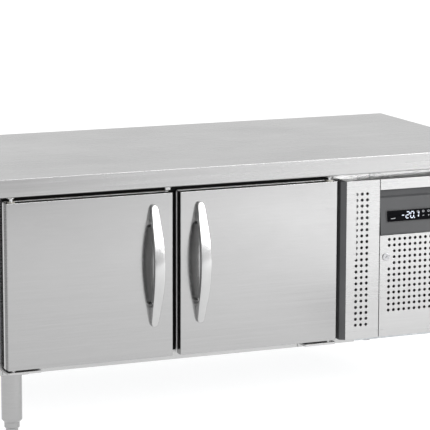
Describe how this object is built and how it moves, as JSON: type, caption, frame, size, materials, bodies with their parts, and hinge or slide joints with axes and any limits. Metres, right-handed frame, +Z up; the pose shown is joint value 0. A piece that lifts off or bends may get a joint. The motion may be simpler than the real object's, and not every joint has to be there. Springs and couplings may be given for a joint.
{
  "type": "undercounter refrigerator",
  "caption": "Low refrigerated counter with hinged doors, bow handles, a thick steel worktop, a perforated machine bay with control panel, and adjustable legs.",
  "frame": {"origin": "on the floor under the centre of the overall box", "axes": "+X to the right seen from the front, +Y to the back, +Z up"},
  "size_m": [1.36, 0.736, 0.635],
  "materials": {
    "worktop_steel": "fine grain along the length",
    "body_steel": "fine vertical grain",
    "door_steel": "fine horizontal grain",
    "liner_steel": "dull satin",
    "galvanised": "spangled zinc coat",
    "foam": "rigid foam",
    "gasket_rubber": "matt black",
    "black_plastic": "moulded",
    "trim_plastic": "moulded dark grey",
    "display": "smoked window",
    "handle_metal": "satin",
    "grip_plastic": "moulded",
    "nylon": "natural nylon",
    "pin_steel": "turned",
    "lock_chrome": "polished",
    "shelf_wire": "plastic-coated wire",
    "fin_aluminium": "rolled foil",
    "motor_metal": "enamel",
    "compressor_paint": "black enamel",
    "copper": "bare copper",
    "leg_steel": "satin tube",
    "foot_steel": "turned"
  },
  "bodies": {
    "cabinet": {"worktop": "worktop_steel", "side_panel_left": "body_steel", "side_panel_right": "body_steel", "back_panel": "galvanised", "base_panel": "galvanised", "insulation": "foam", "inner_liner": "liner_steel", "front_frame": "body_steel", "centre_mullion": "body_steel", "frame_trim": "black_plastic", "hinge_brackets": "body_steel", "hinge_pins": "pin_steel", "shelf_posts": "liner_steel", "shelf_runners": "liner_steel", "wire_shelf_left": "shelf_wire", "wire_shelf_right": "shelf_wire", "evaporator_cover": "liner_steel", "evaporator_coil": "fin_aluminium", "evaporator_fan_motor": "motor_metal", "drip_tray": "liner_steel", "pilaster": "body_steel", "corner_trim": "trim_plastic", "top_band": "body_steel", "control_fascia": "trim_plastic", "display_window": "display", "controller": "black_plastic", "machine_tray": "galvanised", "compressor": "compressor_paint", "compressor_mounts": "gasket_rubber", "condenser_coil": "fin_aluminium", "fan_shroud": "galvanised", "condenser_fan_motor": "motor_metal", "refrigerant_pipes": "copper", "rear_grille": "galvanised", "mains_inlet": "black_plastic", "legs": "leg_steel", "screws": "pin_steel"},
    "door_left": {"door_left_skin": "door_steel", "door_left_core": "foam", "door_left_inner_panel": "liner_steel", "door_left_gasket": "gasket_rubber", "door_left_handle": "handle_metal", "door_left_grip": "grip_plastic", "door_left_bushes": "nylon"},
    "door_right": {"door_right_skin": "door_steel", "door_right_core": "foam", "door_right_inner_panel": "liner_steel", "door_right_gasket": "gasket_rubber", "door_right_handle": "handle_metal", "door_right_grip": "grip_plastic", "door_right_bushes": "nylon"},
    "access_panel": {"access_panel": "body_steel"},
    "lock": {"lock_barrel": "lock_chrome", "lock_cam": "pin_steel"},
    "evaporator_fan": {"evaporator_fan": "black_plastic"},
    "condenser_fan": {"condenser_fan": "black_plastic"},
    "foot_front_left": {"foot_front_left": "foot_steel"},
    "foot_front_right": {"foot_front_right": "foot_steel"},
    "foot_rear_left": {"foot_rear_left": "foot_steel"},
    "foot_rear_right": {"foot_rear_right": "foot_steel"}
  },
  "joints": [
    {"name": "door_left_hinge", "type": "hinge", "parent": "cabinet", "child": "door_left", "pos_m": [-0.6335, -0.308, 0.3735], "axis": [0, 0, -1], "range_deg": [0, 105]},
    {"name": "door_right_hinge", "type": "hinge", "parent": "cabinet", "child": "door_right", "pos_m": [0.195, -0.308, 0.3735], "axis": [0, 0, 1], "range_deg": [0, 105]},
    {"name": "access_panel_hinge", "type": "hinge", "parent": "cabinet", "child": "access_panel", "pos_m": [0.661, -0.312, 0.299], "axis": [0, 0, 1], "range_deg": [0, 100]},
    {"name": "lock_turn", "type": "hinge", "parent": "access_panel", "child": "lock", "pos_m": [0.349, -0.322, 0.374], "axis": [0, -1, 0], "range_deg": [0, 90]},
    {"name": "evaporator_fan_spin", "type": "hinge", "parent": "cabinet", "child": "evaporator_fan", "pos_m": [0.209, 0.078, 0.376], "axis": [1, 0, 0], "continuous": true},
    {"name": "condenser_fan_spin", "type": "hinge", "parent": "cabinet", "child": "condenser_fan", "pos_m": [0.5, -0.198, 0.3], "axis": [0, 1, 0], "continuous": true},
    {"name": "foot_front_left_screw", "type": "slide", "parent": "cabinet", "child": "foot_front_left", "axis": [0, 0, -1], "range_m": [0, 0.02]},
    {"name": "foot_front_right_screw", "type": "slide", "parent": "cabinet", "child": "foot_front_right", "axis": [0, 0, -1], "range_m": [0, 0.02]},
    {"name": "foot_rear_left_screw", "type": "slide", "parent": "cabinet", "child": "foot_rear_left", "axis": [0, 0, -1], "range_m": [0, 0.02]},
    {"name": "foot_rear_right_screw", "type": "slide", "parent": "cabinet", "child": "foot_rear_right", "axis": [0, 0, -1], "range_m": [0, 0.02]}
  ]
}
